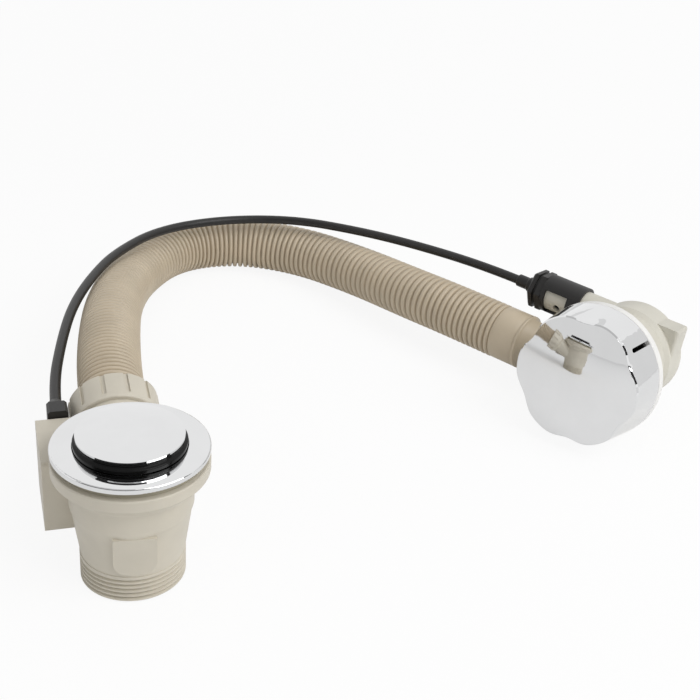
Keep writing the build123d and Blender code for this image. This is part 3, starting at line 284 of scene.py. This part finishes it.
def metal(name, colour, gloss, scale=60.0, scratches=0.0):
    """Metal whose gloss varies with faint smears, with fine scratches where it has any."""
    material, tree, shader, coord = new_material(name)
    shader.inputs["Metallic"].default_value = 1.0
    smear = noise(tree, coord, scale, CLOUD_DETAIL, SMEAR_ROUGHNESS)
    tint = tuple(c * SMEAR_TINT for c in colour)
    tree.links.new(tones(tree, smear, tint, colour), shader.inputs["Base Color"])
    tree.links.new(span(tree, smear, gloss), shader.inputs["Roughness"])
    if scratches:
        fine = noise(tree, coord, scale * SCRATCH_RATIO, FINE_DETAIL)
        bump(tree, shader, fine, scratches, SCRATCH_DEPTH)
    return material


LOOKS = {name: plastic(name, **look) for name, look in PLASTICS.items()}
LOOKS.update({name: metal(name, **look) for name, look in METALS.items()})


# Solids

def new_object(name, mesh):
    """Object with the faces of a bmesh, in the scene."""
    data = bpy.data.meshes.new(name)
    mesh.to_mesh(data)
    mesh.free()
    obj = bpy.data.objects.new(name, data)
    scene.collection.objects.link(obj)
    return obj


def bridge(mesh, a, b):
    """Faces between two closed rings of corners."""
    for k in range(len(a)):
        n = (k + 1) % len(a)
        mesh.faces.new((a[k], a[n], b[n], b[k]))


def paint(obj, material):
    """Gives the object that one material."""
    obj.data.materials.clear()
    obj.data.materials.append(material)


def smooth(obj):
    """Joins split corners, rounds the edges a little and shades the flats flat."""
    for polygon in obj.data.polygons:
        polygon.use_smooth = True
    weld = obj.modifiers.new("weld", "WELD")
    weld.merge_threshold = WELD_REACH
    rounding = obj.modifiers.new("edges", "BEVEL")
    rounding.width = EDGE_ROUND
    rounding.segments = EDGE_SEGMENTS
    rounding.limit_method = "ANGLE"
    rounding.angle_limit = EDGE_ANGLE
    rounding.use_clamp_overlap = True
    normals = obj.modifiers.new("normals", "WEIGHTED_NORMAL")
    normals.keep_sharp = True


def thread_cutter():
    """Closed band that winds up the outlet and cuts the groove of its thread."""
    count = int((THREAD_HIGH - THREAD_LOW) / THREAD_PITCH * THREAD_STEPS)
    outer = THREAD_R + THREAD_OUTSIDE
    mouth = THREAD_MOUTH * THREAD_PITCH
    floor = THREAD_FLOOR * THREAD_PITCH
    mesh = bmesh.new()
    rows = []
    for i in range(count + 1):
        angle = THREAD_END + 2 * math.pi * (i - count) / THREAD_STEPS
        height = THREAD_LOW + THREAD_PITCH * i / THREAD_STEPS
        inner = THREAD_R - THREAD_DEPTH * min(1.0, (count - i) / (THREAD_RUNOUT * THREAD_STEPS))
        corners = ((outer, -mouth), (inner, -floor), (inner, floor), (outer, mouth))
        rows.append([
            mesh.verts.new((r * math.cos(angle), r * math.sin(angle), height + rise))
            for r, rise in corners
        ])
    for a, b in zip(rows, rows[1:]):
        bridge(mesh, a, b)
    mesh.faces.new(rows[0])
    mesh.faces.new(rows[-1])
    bmesh.ops.recalc_face_normals(mesh, faces=mesh.faces)
    cutter = new_object("thread_cutter", mesh)
    cutter.hide_render = True
    return cutter


def cut_thread(body):
    """Cuts the thread after the edges are rounded and before the normals are weighted."""
    thread = body.modifiers.new("thread", "BOOLEAN")
    thread.operation = "DIFFERENCE"
    thread.solver = "EXACT"
    thread.object = thread_cutter()
    last = len(body.modifiers) - 1
    body.modifiers.move(last, last - 1)


for row in frame["record"]["subparts"]:
    node = nodes[row["node"]]
    paint(node, LOOKS[row["material_slot"]])
    if row["node"] not in OWN_NORMALS:
        smooth(node)
cut_thread(nodes["waste_body"])


# Cords

def route_curve(name, points):
    """Open NURBS curve whose control points are the route's points."""
    data = bpy.data.curves.new(name, "CURVE")
    data.dimensions = "3D"
    spline = data.splines.new("NURBS")
    spline.points.add(len(points) - 1)
    for point, place in zip(spline.points, points):
        point.co = (*place, 1.0)
    spline.order_u = ROUTE_ORDER
    spline.use_endpoint_u = True
    data.resolution_u = ROUTE_STEPS
    obj = bpy.data.objects.new(name, data)
    scene.collection.objects.link(obj)
    return obj


def read_line(curve):
    """Points along a curve that has no bevel."""
    bpy.context.view_layer.update()
    mesh = bpy.data.meshes.new_from_object(curve)
    line = [v.co.copy() for v in mesh.vertices]
    bpy.data.meshes.remove(mesh)
    return line


def along(line):
    """Arc length at each point of a line."""
    total = [0.0]
    for a, b in zip(line, line[1:]):
        total.append(total[-1] + (b - a).length)
    return total


def frames_along(line, stations):
    """Centre, side and up vectors at the given arc lengths, carried without twist."""
    lengths = along(line)
    result = []
    index = 0
    side = None
    for s in stations:
        while index < len(line) - 2 and lengths[index + 1] < s:
            index += 1
        step = lengths[index + 1] - lengths[index]
        t = (s - lengths[index]) / step
        centre = line[index].lerp(line[index + 1], t)
        before = line[max(index - 1, 0)]
        after = line[min(index + 2, len(line) - 1)]
        here = (line[index + 1] - line[index]).normalized()
        first = (line[index] - before).normalized() if index else here
        last = (after - line[index + 1]).normalized() if index < len(line) - 2 else here
        ahead = ((first + here) * (1 - t) + (here + last) * t).normalized()
        if side is None:
            side = ahead.orthogonal()
        side = (side - ahead * side.dot(ahead)).normalized()
        result.append((centre, side.copy(), ahead.cross(side)))
    return result


def tube(name, line, profile, inner, sides):
    """Closed tube: outer rings from (arc length, radius) pairs and a plain inner wall."""
    rows = frames_along(line, [s for s, r in profile])
    turns = [2 * math.pi * k / sides for k in range(sides)]
    mesh = bmesh.new()

    def ring(row, radius):
        centre, side, up = row
        return [mesh.verts.new(centre + (side * math.cos(a) + up * math.sin(a)) * radius) for a in turns]

    outer = [ring(row, r) for row, (s, r) in zip(rows, profile)]
    chosen = sorted(set(range(0, len(rows), WALL_STRIDE)) | {len(rows) - 1})
    walls = [ring(rows[i], inner) for i in chosen]
    for a, b in zip(outer, outer[1:]):
        bridge(mesh, a, b)
    for a, b in zip(walls, walls[1:]):
        bridge(mesh, b, a)
    bridge(mesh, walls[0], outer[0])
    bridge(mesh, outer[-1], walls[-1])
    bmesh.ops.recalc_face_normals(mesh, faces=mesh.faces)
    obj = new_object(name, mesh)
    for polygon in obj.data.polygons:
        polygon.use_smooth = True
    return obj


def rib_pitch(share):
    """Rib pitch at a share of the hose's length."""
    for (a, low), (b, high) in zip(RIB_PITCHES, RIB_PITCHES[1:]):
        if share <= b:
            return low + (high - low) * (share - a) / (b - a)
    return RIB_PITCHES[-1][1]


def rib_edges(length):
    """Arc lengths where the ribs meet, fitted between the lead and the cuff."""
    edges = [HOSE_LEAD]
    while edges[-1] < length - HOSE_CUFF:
        edges.append(edges[-1] + rib_pitch(edges[-1] / length))
    fit = (length - HOSE_CUFF - HOSE_LEAD) / (edges[-1] - HOSE_LEAD)
    return [HOSE_LEAD + (e - HOSE_LEAD) * fit for e in edges]


def hose_profile(length):
    """Radius along the hose: plain lead, ribs, plain cuff with a lip, and the neck behind it."""
    cuff = length - HOSE_CUFF
    step = length - HOSE_STEP
    edges = rib_edges(length)
    profile = [(0.0, HOSE_PLAIN_R), (HOSE_LEAD - LEAD_GAP, HOSE_PLAIN_R)]
    for a, b in zip(edges, edges[1:]):
        for share, rise in RIB_SHAPE:
            profile.append((a + share * (b - a), HOSE_ROOT_R + (HOSE_R - HOSE_ROOT_R) * rise))
    profile += [(cuff + place, HOSE_PLAIN_R + rise) for place, rise in CUFF_START]
    profile += [(step + place, HOSE_PLAIN_R + rise) for place, rise in CUFF_LIP]
    profile += [(step + STEP_WIDTH, HOSE_ROOT_R), (length, HOSE_ROOT_R)]
    return profile


hose_guide = route_curve("hose_guide", HOSE_ROUTE)
hose_line = read_line(hose_guide)
bpy.data.objects.remove(hose_guide)
hose_length = along(hose_line)[-1]
hose = tube("corrugated_hose", hose_line, hose_profile(hose_length), HOSE_INNER_R, HOSE_SIDES)
paint(hose, LOOKS["hose_plastic"])
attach(hose, ROOT)
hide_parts("overflow_hose")

cable = route_curve("control_cable", CABLE_ROUTE)
cable_length = along(read_line(cable))[-1]
cable.data.bevel_depth = CABLE_D / 2
cable.data.bevel_resolution = CABLE_ROUNDNESS
cable.data.use_fill_caps = True
paint(cable, LOOKS["black_plastic"])
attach(cable, ROOT)
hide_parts("cable_sheath")


# Floor, light and camera

def calculate(tree, operation, first, second):
    """Math node on a socket and on a second socket or number."""
    node = tree.nodes.new("ShaderNodeMath")
    node.operation = operation
    tree.links.new(first, node.inputs[0])
    if isinstance(second, float):
        node.inputs[1].default_value = second
    else:
        tree.links.new(second, node.inputs[1])
    return node.outputs[0]


def seen_share(tree, mirrored):
    """1 for camera and transmission rays, the mirrored share for glossy rays, else 0."""
    path = tree.nodes.new("ShaderNodeLightPath")
    glossy = calculate(tree, "MULTIPLY", path.outputs["Is Glossy Ray"], mirrored)
    seen = calculate(tree, "MAXIMUM", path.outputs["Is Camera Ray"], glossy)
    return calculate(tree, "MAXIMUM", seen, path.outputs["Is Transmission Ray"])


def emission(tree, level):
    """White light of that strength."""
    glow = tree.nodes.new("ShaderNodeEmission")
    glow.inputs["Strength"].default_value = level
    return glow.outputs[0]


def make_world():
    """White to the camera, softer as a light."""
    world = bpy.data.worlds.new("studio")
    world.use_nodes = True
    tree = world.node_tree
    back = tree.nodes["Background"]
    back.inputs["Color"].default_value = (1, 1, 1, 1)
    level = span(tree, seen_share(tree, WORLD_MIRRORED), (WORLD_LIGHT, 1.0))
    tree.links.new(level, back.inputs["Strength"])
    scene.world = world


def make_floor():
    """Pale floor that keeps a faint shadow and fades to white away from the object."""
    mesh = bmesh.new()
    bmesh.ops.create_grid(mesh, x_segments=1, y_segments=1, size=FLOOR_HALF)
    floor = new_object("floor", mesh)
    floor.location = FLOOR_PLACE
    material = bpy.data.materials.new("floor")
    material.use_nodes = True
    tree = material.node_tree
    shader = tree.nodes["Principled BSDF"]
    shader.inputs["Base Color"].default_value = FLOOR_TONE
    shader.inputs["Roughness"].default_value = FLOOR_ROUGH
    shader.inputs["Specular IOR Level"].default_value = 0.0
    place = tree.nodes.new("ShaderNodeNewGeometry")
    reach = tree.nodes.new("ShaderNodeVectorMath")
    reach.operation = "LENGTH"
    tree.links.new(place.outputs["Position"], reach.inputs[0])
    white = span(tree, reach.outputs["Value"], FLOOR_WHITE, FLOOR_FADE)
    mix = tree.nodes.new("ShaderNodeMixShader")
    share = calculate(tree, "MULTIPLY", seen_share(tree, FLOOR_MIRRORED), white)
    tree.links.new(share, mix.inputs["Fac"])
    tree.links.new(shader.outputs[0], mix.inputs[1])
    tree.links.new(emission(tree, 1.0), mix.inputs[2])
    tree.links.new(mix.outputs[0], tree.nodes["Material Output"].inputs["Surface"])
    paint(floor, material)


def make_screen(name, sweep, low, high, level):
    """Curved studio screen between two (radius, height) rims, seen only in what shines."""
    x, y = SCREEN_CENTRE
    mesh = bmesh.new()
    rows = []
    for i in range(SCREEN_STEPS + 1):
        angle = math.radians(sweep[0] + (sweep[1] - sweep[0]) * i / SCREEN_STEPS)
        rows.append([
            mesh.verts.new((x + r * math.cos(angle), y + r * math.sin(angle), height))
            for r, height in (low, high)
        ])
    for a, b in zip(rows, rows[1:]):
        mesh.faces.new((a[0], b[0], b[1], a[1]))
    screen = new_object(name, mesh)
    material = bpy.data.materials.new(name)
    material.use_nodes = True
    tree = material.node_tree
    tree.links.new(emission(tree, level), tree.nodes["Material Output"].inputs["Surface"])
    paint(screen, material)
    screen.visible_camera = False
    screen.visible_diffuse = False
    screen.visible_transmission = False
    screen.visible_shadow = False


def area_light(name, place, target, power, mirrored=False):
    """Soft square light that points at a target."""
    data = bpy.data.lights.new(name, "AREA")
    data.shape = "SQUARE"
    data.size = LAMP_SIZE
    data.energy = power
    lamp = bpy.data.objects.new(name, data)
    lamp.location = place
    lamp.rotation_euler = (Vector(target) - Vector(place)).to_track_quat("-Z", "Y").to_euler()
    lamp.visible_glossy = mirrored
    scene.collection.objects.link(lamp)


def make_camera():
    """Camera from its place, its right and its backward direction."""
    data = bpy.data.cameras.new("camera")
    data.sensor_width = SENSOR_WIDTH
    data.lens = SENSOR_WIDTH * FOCAL_PIXELS / PHOTO_WIDTH
    data.clip_start, data.clip_end = CAMERA_CLIP
    camera = bpy.data.objects.new("camera", data)
    scene.collection.objects.link(camera)
    right = Vector(CAMERA_RIGHT).normalized()
    back = Vector(CAMERA_BACK).normalized()
    up = back.cross(right).normalized()
    right = up.cross(back)
    turn = Matrix((right, up, back)).transposed().to_4x4()
    camera.matrix_world = Matrix.Translation(CAMERA_PLACE) @ turn
    scene.camera = camera


make_world()
make_floor()
for name, values in SCREENS.items():
    make_screen(name, **values)
for name, values in LAMPS.items():
    area_light(name, **values)
make_camera()

scene.view_settings.view_transform = "Standard"
